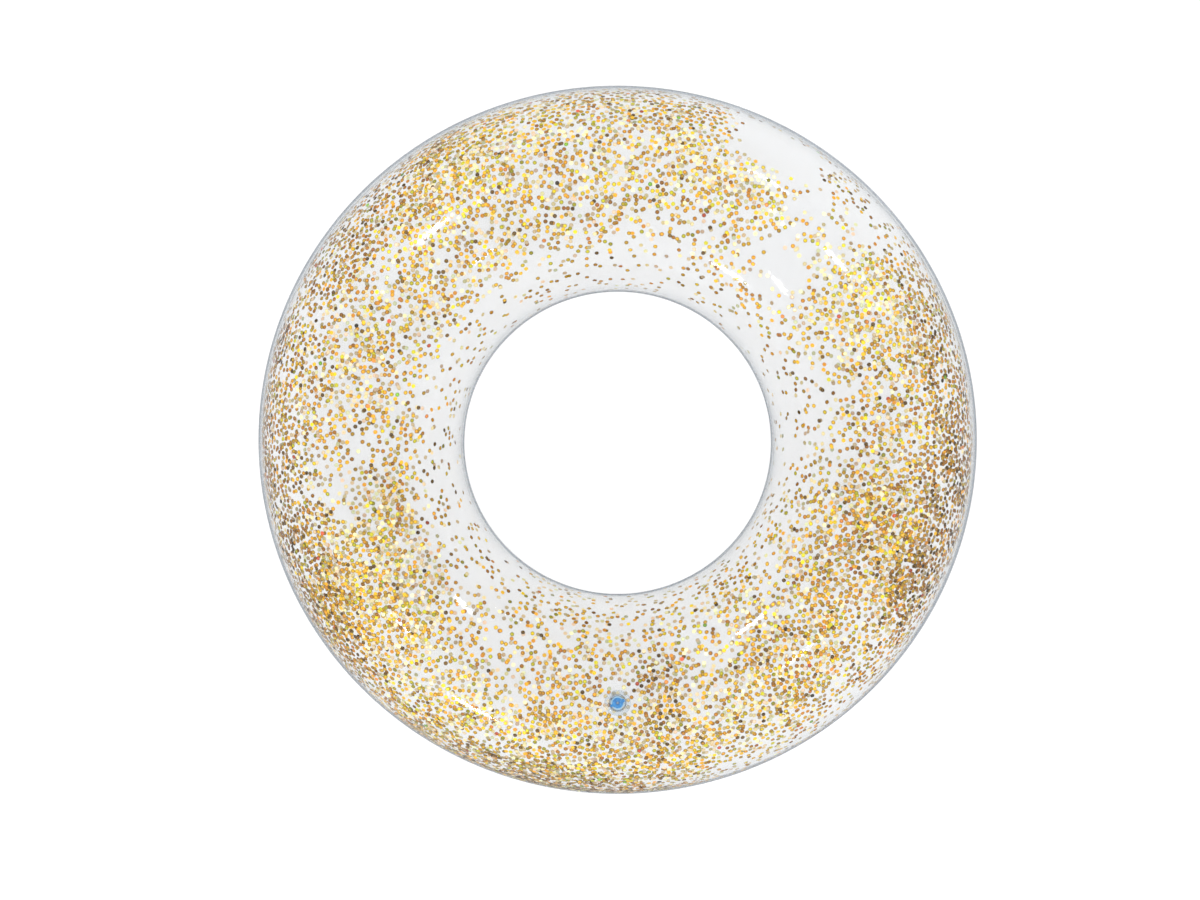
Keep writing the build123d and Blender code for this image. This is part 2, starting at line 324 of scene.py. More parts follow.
def bump_from(nodes, links, height, strength, distance):
    """A Bump node fed by a height; gives its normal."""
    node = nodes.new("ShaderNodeBump")
    node.inputs["Strength"].default_value = strength
    node.inputs["Distance"].default_value = distance
    links.new(height, node.inputs["Height"])
    return node.outputs["Normal"]


def new_material(name):
    """A material with nodes, its nodes, its links and its Principled shader."""
    material = bpy.data.materials.new(name)
    material.use_nodes = True
    nodes = material.node_tree.nodes
    return material, nodes, material.node_tree.links, nodes["Principled BSDF"]


def use_group(material, group, **values):
    """A group node in a material, with its inputs set by name."""
    node = material.node_tree.nodes.new("ShaderNodeGroup")
    node.node_tree = group
    for label, value in values.items():
        node.inputs[label.replace("_", " ").capitalize()].default_value = value
    return node


# %% Scuffed soft PVC
def soft_pvc_group():
    """Ripple height, a haze mask and a roughness for calendered soft PVC."""
    group, given, result = new_group(
        "soft_pvc_surface",
        [("Ripple size", 60.0), ("Ripple depth", 1.0), ("Scuff size", 14.0), ("Scuff amount", 0.5),
         ("Smooth roughness", 0.06), ("Scuffed roughness", 0.3)],
        [("Height", FLOAT), ("Haze", FLOAT), ("Roughness", FLOAT)],
    )
    nodes, links = group.nodes, group.links
    place = nodes.new("ShaderNodeTexCoord").outputs["Object"]
    ripple = nodes.new("ShaderNodeTexNoise")
    ripple.inputs["Detail"].default_value = 2.0
    links.new(place, ripple.inputs["Vector"])
    links.new(given.outputs["Ripple size"], ripple.inputs["Scale"])
    height = maths(nodes, links, "MULTIPLY", ripple.outputs["Fac"], given.outputs["Ripple depth"])
    scuff = nodes.new("ShaderNodeTexNoise")
    scuff.inputs["Detail"].default_value = 7.0
    scuff.inputs["Roughness"].default_value = 0.68
    scuff.inputs["Distortion"].default_value = 0.6
    links.new(place, scuff.inputs["Vector"])
    links.new(given.outputs["Scuff size"], scuff.inputs["Scale"])
    rise = maths(nodes, links, "SUBTRACT", scuff.outputs["Fac"], 0.52)
    patches = maths(nodes, links, "MULTIPLY", rise, 5.0, clamp=True)
    haze = maths(nodes, links, "MULTIPLY", patches, given.outputs["Scuff amount"])
    smooth = given.outputs["Smooth roughness"]
    span = maths(nodes, links, "SUBTRACT", given.outputs["Scuffed roughness"], smooth)
    added = maths(nodes, links, "MULTIPLY", span, haze)
    rough = maths(nodes, links, "ADD", added, smooth)
    links.new(height, result.inputs["Height"])
    links.new(haze, result.inputs["Haze"])
    links.new(rough, result.inputs["Roughness"])
    return group


soft_pvc = soft_pvc_group()
print("node group:", soft_pvc.name)

# %% [markdown]
# ## Clear film
# The film is half a millimetre of clear PVC. Seen square on it lets nearly all light through
# and adds a trace of grey. Seen at a slant the light crosses more plastic, so the rim of the
# ring turns grey, and the surface mirrors more. One power of a Layer Weight mixes a see-through
# shader with a milky one for the first effect, and its fifth power mixes in the mirror for the
# second. The welded rims carry a "weld" attribute, which makes them milkier still.


# %% Clear soft PVC material
def clear_pvc(name, milk, square_on, edge_on, slant_power, tint, slant_tint, scuffs, ripple):
    """Soft PVC that shows what is behind it, milkier and more mirror-like at a slant."""
    material, nodes, links, shader = new_material(name)
    surface = use_group(
        material, soft_pvc, ripple_size=ripple, ripple_depth=1.0, scuff_size=11.0,
        scuff_amount=scuffs, smooth_roughness=0.05, scuffed_roughness=0.28,
    )
    normal = bump_from(nodes, links, surface.outputs["Height"], 0.12, 0.0015)
    # the milky part of the plastic
    veil = colour_mix(nodes, links, surface.outputs["Haze"], milk, (0.90, 0.92, 0.94))
    links.new(veil, shader.inputs["Base Color"])
    links.new(surface.outputs["Roughness"], shader.inputs["Roughness"])
    links.new(normal, shader.inputs["Normal"])
    shader.inputs["Specular IOR Level"].default_value = 0.2
    # how much of it there is
    slant = nodes.new("ShaderNodeLayerWeight")
    slant.inputs["Blend"].default_value = 0.5
    links.new(normal, slant.inputs["Normal"])
    steep = maths(nodes, links, "POWER", slant.outputs["Facing"], slant_power)
    depth = span_of(nodes, links, steep, square_on, edge_on)
    weld = nodes.new("ShaderNodeAttribute")
    weld.attribute_name = "weld"
    weld_milk = maths(nodes, links, "MULTIPLY", weld.outputs["Fac"], 0.30)
    weld_dark = maths(nodes, links, "MULTIPLY", weld.outputs["Fac"], 0.8)
    milkiness = maths(nodes, links, "ADD", depth, weld_milk, clamp=True)
    clear = nodes.new("ShaderNodeBsdfTransparent")
    darker = maths(nodes, links, "MAXIMUM", steep, weld_dark)
    links.new(colour_mix(nodes, links, darker, tint, slant_tint), clear.inputs["Color"])
    body = nodes.new("ShaderNodeMixShader")
    links.new(milkiness, body.inputs["Fac"])
    links.new(clear.outputs[0], body.inputs[1])
    links.new(shader.outputs[0], body.inputs[2])
    # the mirror on its surface: faint square on, strong edge on
    fifth = maths(nodes, links, "POWER", slant.outputs["Facing"], 5.0)
    mirror = nodes.new("ShaderNodeBsdfGlossy")
    links.new(surface.outputs["Roughness"], mirror.inputs["Roughness"])
    links.new(normal, mirror.inputs["Normal"])
    mirror.inputs["Color"].default_value = (1.0, 1.0, 1.0, 1.0)
    skin = nodes.new("ShaderNodeMixShader")
    links.new(span_of(nodes, links, fifth, 0.012, 0.18), skin.inputs["Fac"])
    links.new(body.outputs[0], skin.inputs[1])
    links.new(mirror.outputs[0], skin.inputs[2])
    links.new(skin.outputs[0], nodes["Material Output"].inputs["Surface"])
    return material


clear_film = clear_pvc(
    "clear_film", milk=(0.40, 0.43, 0.46), square_on=0.003, edge_on=0.05, slant_power=5.5,
    tint=(0.958, 0.960, 0.962), slant_tint=(0.77, 0.785, 0.80), scuffs=0.2, ripple=90.0,
)
clear_valve = clear_pvc(
    "clear_valve", milk=(0.42, 0.47, 0.52), square_on=0.14, edge_on=0.6, slant_power=2.0,
    tint=(0.90, 0.93, 0.95), slant_tint=(0.6, 0.68, 0.76), scuffs=0.4, ripple=400.0,
)
pale_blue_valve = clear_pvc(
    "pale_blue_valve", milk=(0.38, 0.60, 0.76), square_on=0.48, edge_on=0.88, slant_power=1.5,
    tint=(0.74, 0.88, 0.95), slant_tint=(0.32, 0.57, 0.74), scuffs=0.4, ripple=400.0,
)
print("materials:", clear_film.name, clear_valve.name, pale_blue_valve.name)

# %% [markdown]
# ## The two sheets
# Each sheet is a closed shell: its outside, its inside half a millimetre below, and the flat
# welded rims where it meets the other sheet. The shell is a grid of the two angles. Round the
# valve the grid is opened and filled again with rings that run from a true circle out to the
# grid, so the hole is clean and the shading stays smooth.

# %% Grid of the sheets
ring_steps = 640
tube_steps = 72
patch_half_ring = 7  # grid steps opened on each side of the valve
patch_low, patch_high = 35, 43  # grid rows between which the valve sits
patch_rings = 4
rim_turn = 0.45  # where a welded rim gets its second row of points, as a share of its width


def sheet_profile(side, under):
    """(ring reach, height, tube angle or None) from the outer rim to the inner rim."""
    lift = -film if under else 0.0
    rim_height = seam_height + side * (0.0 if under else film)
    steps = [(ring_reach, rim_height, None)]
    steps.append((ring_reach - outer_rim * rim_turn, rim_height, None))
    for step in range(1, tube_steps):
        steps.append((None, lift, side * pi * step / tube_steps))
    steps.append((hole_reach + inner_rim * rim_turn, rim_height, None))
    steps.append((hole_reach, rim_height, None))
    return steps


def valve_patch_points(border, lift):
    """Rings of points from the hole round the valve out to the border of the opened grid."""
    rings = []
    for ring in range(patch_rings):
        share = ring / patch_rings
        row = []
        for point in border:
            offset = point - valve_middle
            bearing = float(np.arctan2(offset.dot(valve_away), offset.dot(valve_right)))
            near = round_valve(bearing, skin_hole_radius)
            ring_angle, tube_angle = skin_angles(near.lerp(point, share))
            row.append(skin_point(ring_angle, tube_angle, lift))
        rings.append(row)
    return rings


def build_sheet(name, side):
    """The upper sheet (side 1), open round the valve, or the lower sheet (side -1)."""
    points, faces, welds = [], [], []
    holed = side > 0
    valve_step = round(valve_ring_angle / tau * ring_steps)
    surfaces = {}
    for under in (False, True):
        profile = sheet_profile(side, under)
        start = len(points)
        for step in range(ring_steps):
            ring_angle = tau * step / ring_steps
            for reach, height, tube_angle in profile:
                if tube_angle is None:
                    x, y = reach * cos(ring_angle), reach * sin(ring_angle)
                    points.append(Vector((x, y, height)))
                    welds.append(1.0)
                else:
                    points.append(skin_point(ring_angle, tube_angle, height))
                    welds.append(0.0)
        width = len(profile)

        def at(step, row, start=start, width=width):
            return start + (step % ring_steps) * width + row

        opened = range(valve_step - patch_half_ring, valve_step + patch_half_ring)
        first_row, last_row = patch_low + 1, patch_high + 1
        for step in range(ring_steps):
            for row in range(width - 1):
                if holed and step in opened and first_row <= row < last_row:
                    continue
                quad = (at(step, row), at(step + 1, row), at(step + 1, row + 1), at(step, row + 1))
                faces.append(quad if (side > 0) != under else quad[::-1])
        surfaces[under] = (at, width)
        if holed:
            low, high = opened[0], opened[-1] + 1
            border = [at(s, first_row) for s in range(low, high)]
            border += [at(high, r) for r in range(first_row, last_row)]
            border += [at(s, last_row) for s in range(high, low, -1)]
            border += [at(low, r) for r in range(last_row, first_row, -1)]
            rings = valve_patch_points([points[i] for i in border], -film if under else 0.0)
            rows = []
            for row in rings:
                rows.append(list(range(len(points), len(points) + len(row))))
                points.extend(row)
                welds.extend([0.0] * len(row))
            rows.append(border)
            count = len(border)
            for inner, outer in zip(rows, rows[1:]):
                for i in range(count):
                    j = (i + 1) % count
                    quad = (inner[i], inner[j], outer[j], outer[i])
                    faces.append(quad[::-1] if not under else quad)
            surfaces[under] += (rows[0],)
    # close the two rims and the hole
    (top, width, *hole_top), (below, _, *hole_below) = surfaces[False], surfaces[True]
    for step in range(ring_steps):
        for row, turned in ((0, side > 0), (width - 1, side < 0)):
            quad = (top(step, row), below(step, row), below(step + 1, row), top(step + 1, row))
            faces.append(quad if turned else quad[::-1])
    if holed:
        upper_edge, lower_edge = hole_top[0], hole_below[0]
        for i in range(len(upper_edge)):
            j = (i + 1) % len(upper_edge)
            faces.append((upper_edge[i], upper_edge[j], lower_edge[j], lower_edge[i]))
    piece = make_piece(name, points, faces, clear_film)
    piece.data.attributes.new("weld", "FLOAT", "POINT").data.foreach_set("value", welds)
    return piece


for name, side in (("upper_film", 1), ("lower_film", -1)):
    sheet = build_sheet(name, side)
    node = "upper_sheet" if side > 0 else "lower_sheet"
    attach(sheet, "ring")
    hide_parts(node)

# %% [markdown]
# ## Sequins
# The sequins are dots punched from metallised film, 6.2 mm across and a seventh of a
# millimetre thick. Static holds them to the inside of both sheets, in drifts, clumps and bare
# gaps, and a heap has slid to the outer edge on the valve's side. Each one is a closed disc
# with twelve sides, a face that is lacquered gold to brown, a pale reverse, and painted shade
# towards its rim for the shading of a cupped disc. The drifts below are given: where round
# the ring and where round the tube each one lies, how thick it is and how pale its sequins are.

# %% Where the drifts lie
drifts = (
    # ring from, ring to, tube from, tube to (degrees), extra thickness, paleness
    (-24, 26, 13, 57, 0.45, -0.6),
    (-14, 24, 76, 102, 0.22, 0.2),
    (22, 39, 53, 100, 0.28, 0.8),
    (36, 52, 12, 60, -0.24, 0.5),
    (40, 56, 62, 112, -0.20, 0.5),
    (52, 72, 12, 60, -0.34, 0.5),
    (57, 78, 58, 87, 0.55, 0.8),
    (76, 100, 20, 99, 0.10, 0.4),
    (98, 126, 12, 58, 0.36, 0.7),
    (112, 133, 36, 76, 0.45, 0.3),
    (116, 152, 8, 62, 0.25, -0.3),
    (134, 149, 58, 78, -0.18, 0.0),
    (100, 156, 88, 120, 0.18, 0.2),
    (145, 180, 62, 100, 0.18, 0.2),
    (158, 182, 18, 82, 0.20, 0.0),
    (178, 198, 12, 47, 0.35, -0.8),
    (179, 191, 76, 100, -0.25, 0.2),
    (190, 221, 56, 74, 0.30, 0.5),
    (192, 223, 76, 106, 1.30, 0.5),
    (160, 224, 3, 24, 0.50, -0.9),
    (193, 226, 12, 62, 0.50, -0.4),
    (204, 286, 36, 62, 0.90, 0.3),
    (222, 300, 8, 60, 0.0, 0.4),
    (224, 252, 58, 76, 0.25, 0.4),
    (236, 250, 78, 100, -0.15, 0.2),
    (250, 284, 60, 104, 0.30, 0.0),
    (272, 284, 78, 100, 0.50, -0.5),
    (284, 316, 16, 38, -0.24, 0.4),
    (284, 318, 44, 78, 0.40, 0.3),
    (300, 354, 80, 106, 0.60, -0.2),
    (314, 330, 16, 58, -0.10, 0.0),
    (326, 362, 16, 62, 0.50, -0.7),
    (326, 350, 58, 80, 0.70, -0.1),
    (240, 352, 108, 158, 0.10, 0.4),
)


def soft_window(value, start, end, edge=4.0):
    """1 between start and end, falling smoothly to 0 over the edge outside."""
    rise = np.clip((value - start + edge) / (2 * edge), 0, 1)
    fall = np.clip((end - value + edge) / (2 * edge), 0, 1)
    return rise * rise * (3 - 2 * rise) * fall * fall * (3 - 2 * fall)


def drift_map(ring_degrees, tube_degrees):
    """(how thickly sequins lie, how pale they are) for arrays of angles in degrees."""
    tube = np.abs(tube_degrees)
    tube_stops = (0, 12, 22, 75, 100, 125, 150, 168, 180)
    usual_thickness = (0.04, 0.14, 0.34, 0.32, 0.18, 0.06, 0.035, 0.015, 0.0)
    thick = np.interp(tube, tube_stops, usual_thickness)
    pale = -0.25 * np.clip(1.3 - tube / 26.0, 0, 1)
    for ring_from, ring_to, tube_from, tube_to, extra, paleness in drifts:
        here = soft_window(tube, tube_from, tube_to)
        middle = (ring_from + ring_to) / 2
        turned = (ring_degrees - middle + 180) % 360 - 180 + middle
        here = here * soft_window(turned, ring_from, ring_to)
        thick += extra * here
        pale += paleness * here
    return np.clip(thick, 0.0, 2.0), np.clip(pale, -1, 1)


def clump_grid(columns=900, rows=200):
    """Streaky noise on a grid of the two angles: clumps and bare gaps, 0 to about 2."""
    grid = np.empty((columns, rows))
    for column in range(columns):
        ring_angle = tau * column / columns
        x, y = cos(ring_angle) * ring_radius, sin(ring_angle) * ring_radius
        for row in range(rows):
            tube_angle = tau * row / rows - pi
            z = tube_angle * tube_radius
            broad = noise.noise(Vector((x * 9.0, y * 9.0, z * 9.0)))
            tight = noise.noise(Vector((x * 34.0 + 5.0, y * 34.0, z * 34.0)))
            grid[column, row] = 1.0 + 1.15 * broad + 1.0 * tight
    return np.clip(grid, 0.04, 2.2)


# %% Scatter the sequins
sequin_radius = 3.1 * MM
spacing = 1.93 * sequin_radius  # middle to middle, for sequins that lie side by side
clear_of_valve = 23.0 * MM
clear_of_weld = 1.6 * sequin_radius
scatter = np.random.default_rng(2607)
clumps = clump_grid()
lower_share = 0.62  # how many cling to the lower sheet for one on the upper


def scatter_candidates(count):
    """Angles spread evenly over the skin's area."""
    ring = scatter.uniform(0, tau, count)
    tube = scatter.uniform(-pi, pi, count)
    area = (ring_radius + tube_radius * np.cos(tube)) / (ring_radius + tube_radius)
    keep = scatter.uniform(0, 1, count) < area
    return ring[keep], tube[keep]


ring_at, tube_at = scatter_candidates(190000)
thick, pale = drift_map(np.degrees(ring_at), np.degrees(tube_at))
column = (ring_at / tau * clumps.shape[0]).astype(int) % clumps.shape[0]
row = ((tube_at + pi) / tau * clumps.shape[1]).astype(int) % clumps.shape[1]
chance = thick * clumps[column, row] * np.where(tube_at > 0, 1.0, lower_share)
near_valve = np.hypot(
    (ring_at - valve_ring_angle) * ring_radius, (tube_at - valve_tube_angle) * tube_radius
)
off_weld = np.minimum(np.abs(tube_at), pi - np.abs(tube_at)) * tube_radius > clear_of_weld
chosen = (scatter.uniform(0, 1, len(chance)) < chance) & (near_valve > clear_of_valve) & off_weld
ring_at, tube_at, pale = ring_at[chosen], tube_at[chosen], pale[chosen]
crowding = np.clip((chance[chosen] - 0.9) * 0.5, 0.03, 0.30)


def spread_out(ring, tube, spacing, crowding):
    """Keeps the sequins that lie side by side, and some that overlap where they lie thickest."""
    cells, kept = {}, []
    allowed = scatter.uniform(0, 1, len(ring)) < crowding
    for at in range(len(ring)):
        reach = ring_radius + tube_radius * cos(tube[at])
        height = tube_radius * sin(tube[at])
        spot = np.array((reach * cos(ring[at]), reach * sin(ring[at]), height))
        cell = tuple((spot // spacing).astype(int))
        if not allowed[at]:
            crowd = (
                other
                for dx in (-1, 0, 1) for dy in (-1, 0, 1) for dz in (-1, 0, 1)
                for other in cells.get((cell[0] + dx, cell[1] + dy, cell[2] + dz), ())
            )
            if any(np.dot(spot - other, spot - other) < spacing**2 for other in crowd):
                continue
        cells.setdefault(cell, []).append(spot)
        kept.append(at)
    return np.array(kept)


kept = spread_out(ring_at, tube_at, spacing, crowding)
ring_at, tube_at, pale = ring_at[kept], tube_at[kept], pale[kept]
depth_at = scatter.uniform(0.35, 1.5, len(ring_at)) * MM
lean_at = np.abs(scatter.normal(0, radians(3.0), len(ring_at)))

heap_count = 1900
heap_ring_degrees = (226, 258, 286)  # from, thickest, to
heap_tube_degrees = (5, 11, 34)
heap_upper_share = 0.75
heap_ring = np.radians(scatter.triangular(*heap_ring_degrees, heap_count))
heap_tube = np.radians(scatter.triangular(*heap_tube_degrees, heap_count))
heap_side = np.where(scatter.uniform(0, 1, heap_count) < heap_upper_share, 1, -1)
ring_at = np.concatenate([ring_at, heap_ring])
tube_at = np.concatenate([tube_at, heap_tube * heap_side])
pale = np.concatenate([pale, np.where(np.degrees(heap_tube) < 14, -0.45, 0.15)])
depth_at = np.concatenate([depth_at, scatter.uniform(0.8, 4.5, heap_count) * MM])
lean_at = np.concatenate([lean_at, np.abs(scatter.normal(0, radians(9.0), heap_count))])
print(len(ring_at), "sequins,", heap_count, "of them in the heap")

# %% [markdown]
# ## Sequin foil
# Each colour is a lacquer over aluminium: mostly metallic, a little rough, slightly different
# from dot to dot. One node group turns the attributes of a disc into its colour, so the six
# materials differ only in their lacquers.


# %% Sequin materials
def sequin_group():
    """Colour with painted shade towards the rim, roughness and bump height of a foil dot from its attributes."""
    group, given, result = new_group(
        "sequin_foil",
        [("Face colour", None), ("Odd colour", None), ("Reverse colour", None),
         ("Painted rim shade", 0.85)],
        [("Colour", COLOUR), ("Roughness", FLOAT), ("Height", FLOAT)],
    )
    nodes, links = group.nodes, group.links

    def read(name):
        node = nodes.new("ShaderNodeAttribute")
        node.attribute_name = name
        return node.outputs["Fac"]

    usual, odd = given.outputs["Face colour"], given.outputs["Odd colour"]
    face = colour_mix(nodes, links, read("odd"), usual, odd)
    face = colour_mix(nodes, links, read("reverse"), face, given.outputs["Reverse colour"])
    tone = span_of(nodes, links, read("tone"), 0.45, 1.10)
    # painted shade: the face darkens towards its rim for the shading of a cupped disc; the edge attribute sets how
    # much
    rim = maths(nodes, links, "POWER", read("rim"), 2.0)
    edge = maths(nodes, links, "MULTIPLY", rim, read("edge"))
    painted_rim_shade = maths(nodes, links, "MULTIPLY", edge, given.outputs["Painted rim shade"])
    left = maths(nodes, links, "SUBTRACT", 1.0, painted_rim_shade)
    light = maths(nodes, links, "MULTIPLY", left, tone)
    shade = nodes.new("ShaderNodeVectorMath")
    shade.operation = "SCALE"
    links.new(face, shade.inputs[0])
    links.new(light, shade.inputs["Scale"])
    links.new(shade.outputs[0], result.inputs["Colour"])
    grain = nodes.new("ShaderNodeTexNoise")
    grain.inputs["Scale"].default_value = 900.0
    grain.inputs["Detail"].default_value = 2.0
    links.new(nodes.new("ShaderNodeTexCoord").outputs["Object"], grain.inputs["Vector"])
    span = maths(nodes, links, "MULTIPLY", grain.outputs["Fac"], 0.22)
    worn = maths(nodes, links, "MULTIPLY", rim, 0.15)
    rough = maths(nodes, links, "ADD", span, worn)
    links.new(maths(nodes, links, "ADD", rough, 0.18), result.inputs["Roughness"])
    links.new(grain.outputs["Fac"], result.inputs["Height"])
    return group


foil = sequin_group()
print("node group:", foil.name)


def foil_material(name, face, odd, reverse):
    """Metallised film in one lacquer, with an odd one out now and then and a pale reverse."""
    material, nodes, links, shader = new_material(name)
    dot = nodes.new("ShaderNodeGroup")
    dot.node_tree = foil
    dot.inputs["Face colour"].default_value = (*face, 1.0)
    dot.inputs["Odd colour"].default_value = (*odd, 1.0)
    dot.inputs["Reverse colour"].default_value = (*reverse, 1.0)
    normal = bump_from(nodes, links, dot.outputs["Height"], 0.15, 0.0002)
    links.new(normal, shader.inputs["Normal"])
    links.new(dot.outputs["Colour"], shader.inputs["Base Color"])
    links.new(dot.outputs["Roughness"], shader.inputs["Roughness"])
    shader.inputs["Metallic"].default_value = 0.7
    return material


lacquers = {
    # colour: (face, the odd one out, reverse)
    "gold": ((0.88, 0.50, 0.016), (0.95, 0.56, 0.06), (0.94, 0.78, 0.40)),
    "amber": ((0.92, 0.42, 0.014), (0.90, 0.30, 0.05), (0.96, 0.74, 0.44)),
    "copper": ((0.60, 0.24, 0.014), (0.80, 0.13, 0.05), (0.92, 0.66, 0.44)),
    "bronze": ((0.20, 0.10, 0.008), (0.05, 0.03, 0.01), (0.70, 0.50, 0.28)),
    "lemon": ((0.97, 0.71, 0.010), (0.98, 0.72, 0.02), (0.96, 0.90, 0.46)),
    "lime": ((0.62, 0.56, 0.014), (0.30, 0.62, 0.04), (0.84, 0.86, 0.50)),
}

# %% Build the sequins
sides = 12
round_disc = np.array([(cos(tau * k / sides), sin(tau * k / sides)) for k in range(sides)])


def sequin_shares(paleness):
    """Chances of the six colours, in the order of the lacquers."""
    usual = np.array((0.42, 0.24, 0.13, 0.06, 0.08, 0.07))
    pale_mix = np.array((0.45, 0.21, 0.04, 0.01, 0.17, 0.12))
    dark_mix = np.array((0.25, 0.20, 0.30, 0.21, 0.02, 0.02))
    up = np.clip(paleness, 0, 1)[:, None]
    down = np.clip(-paleness, 0, 1)[:, None]
    return usual * (1 - up - down) + pale_mix * up + dark_mix * down


shares = sequin_shares(pale).cumsum(axis=1)
colour_of = (scatter.uniform(0, 1, len(pale))[:, None] > shares).sum(axis=1).clip(0, 5)
tone_of = scatter.uniform(0, 1, len(pale)) * (1 - 0.55 * np.clip(-pale, 0, 1))
odd_of = (scatter.uniform(0, 1, len(pale)) < 0.03).astype(float)
reverse_chance = np.where(tube_at > 0, 0.16, 0.55) + 0.25 * np.clip(pale, 0, 1)
reverse_of = (scatter.uniform(0, 1, len(pale)) < reverse_chance).astype(float)
bright_chance = 0.14 + 0.22 * np.clip(pale, 0, 1)
bronze_at = list(lacquers).index("bronze")  # the bronze ones are never bright
bright = (scatter.uniform(0, 1, len(pale)) < bright_chance) & (colour_of != bronze_at)
# how strong each disc's painted rim shade is: weak on bright discs and on reverses
rim_shade_amount = np.where(bright, 0.2, scatter.uniform(0.75, 1.0, len(pale))) * (1 - 0.6 * reverse_of)
tone_of = np.where(bright, 0.75 + 0.25 * tone_of, tone_of)
lean_way = scatter.uniform(0, tau, len(pale))
turn_of = scatter.uniform(0, tau, len(pale))
half_thickness = 0.075 * MM  # at the middle; the punched edge is thinner
flat_below = 6.0 * MM  # near the floor the sheet is flat, and so are its sequins


def build_sequins(colour, index):
    """One mesh of closed discs for the sequins of one colour."""
    picked = np.nonzero(colour_of == index)[0]
    points = np.empty((len(picked), sides + 2, 3))
    for slot_at, at in enumerate(picked):
        ring_angle, tube_angle = ring_at[at], tube_at[at]
        centre = np.array(skin_point(ring_angle, tube_angle, -(film + depth_at[at])))
        outwards = np.array((cos(ring_angle), sin(ring_angle), 0.0))
        normal = outwards * cos(tube_angle) + np.array((0.0, 0.0, sin(tube_angle)))
        if centre[2] < flat_below:
            normal = np.array((0.0, 0.0, -1.0))
        along = np.array((-sin(ring_angle), cos(ring_angle), 0.0))
        across = np.cross(normal, along)
        lean = lean_at[at]
        tip_way = along * cos(lean_way[at]) + across * sin(lean_way[at])
        normal = normal * cos(lean) + tip_way * sin(lean)
        along = np.cross(across, normal)
        along /= np.linalg.norm(along)
        across = np.cross(normal, along)
        cos_turn, sin_turn = cos(turn_of[at]), sin(turn_of[at])
        first = along * cos_turn + across * sin_turn
        second = across * cos_turn - along * sin_turn
        rim = (round_disc[:, :1] * first + round_disc[:, 1:] * second) * sequin_radius
        points[slot_at, :sides] = centre + rim
        points[slot_at, sides] = centre + normal * half_thickness
        points[slot_at, sides + 1] = centre - normal * half_thickness
    one = []
    for k in range(sides):
        j = (k + 1) % sides
        one.append((k, j, sides))
        one.append((j, k, sides + 1))
    one = np.array(one)
    faces = (one[None] + np.arange(len(picked))[:, None, None] * (sides + 2)).reshape(-1, 3)
    mesh = bpy.data.meshes.new("sequins_" + colour)
    mesh.from_pydata(points.reshape(-1, 3).tolist(), [], faces.tolist())
    per_disc = sides + 2
    rim_value = np.ones(per_disc)
    rim_value[sides:] = 0.0
    for label, values in (
        ("rim", np.tile(rim_value, len(picked))),
        ("tone", np.repeat(tone_of[picked], per_disc)),
        ("reverse", np.repeat(reverse_of[picked], per_disc)),
        ("odd", np.repeat(odd_of[picked], per_disc)),
        ("edge", np.repeat(rim_shade_amount[picked], per_disc)),
    ):
        attribute = mesh.attributes.new(label, "FLOAT", "POINT")
        attribute.data.foreach_set("value", values.astype(np.float32))
    mesh.materials.append(foil_material("sequin_" + colour, *lacquers[colour]))
    piece = bpy.data.objects.new("loose_sequins_" + colour, mesh)
    bpy.context.scene.collection.objects.link(piece)
    print(f"{piece.name}: {len(picked)} sequins, {len(mesh.polygons)} faces")
    return piece


for index, colour in enumerate(lacquers):
    dots = build_sequins(colour, index)
    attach(dots, "ring")
    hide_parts("sequins_" + colour)

# %% [markdown]
# ## Valve
# The valve is a stem with a lip, sunk in a soft boot that hangs from a flange welded under the
# film. Stem, strap ring, stopper and check flap keep their CAD shapes and get soft-PVC
# finishes. The flange is made again so that it follows the film and shows its weld rings, and
# the boot so that its wall is softly corrugated.


# %% Flange
flange_radius = (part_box("valve_flange")[1][0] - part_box("valve_flange")[0][0]) / 2
boot_rim_radius = (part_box("valve_boot")[1][0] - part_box("valve_boot")[0][0]) / 2
flange_thickness = 0.8 * MM


def revolved(name, profile, place, material, around=144):
    """A closed ring from a closed profile; place(bearing, radius, height) gives the point."""
    points, faces = [], []
    count = len(profile)
    for step in range(around):
        points += [place(tau * step / around, radius, height) for radius, height in profile]
    for step in range(around):
        here, there = step * count, (step + 1) % around * count
        for k in range(count):
            j = (k + 1) % count
            faces.append((here + k, here + j, there + j, there + k))
    return make_piece(name, points, faces, material)


def under_skin(bearing, radius, lift):
    """A point below the film, by its bearing and distance from the valve's axis."""
    ring_angle, tube_angle = skin_angles(round_valve(bearing, radius))
    return skin_point(ring_angle, tube_angle, lift)


def flange_profile():
    """The flange's closed outline as (radius, lift): two grooves on top and a thinned edge."""
    top, under = -film - 0.01 * MM, -film - flange_thickness
    steps = []
    for share in np.linspace(0, 1, 40):
        radius = boot_rim_radius + (flange_radius - boot_rim_radius) * share
        groove = 0.28 * MM * exp(-(((radius - 17.5 * MM) / (0.28 * MM)) ** 2))
        groove += 0.18 * MM * exp(-(((radius - 15.2 * MM) / (0.25 * MM)) ** 2))
        edge = 0.35 * MM * exp(-(((flange_radius - radius) / (0.3 * MM)) ** 2))
        steps.append((radius, top - groove - edge))
    steps += [(flange_radius - 0.05 * MM, under + 0.2 * MM), (flange_radius - 0.25 * MM, under)]
    steps.append((boot_rim_radius, under))
    return steps


flange = revolved("valve_flange_ring", flange_profile(), under_skin, clear_valve)
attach(flange, "ring")
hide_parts("valve_flange")


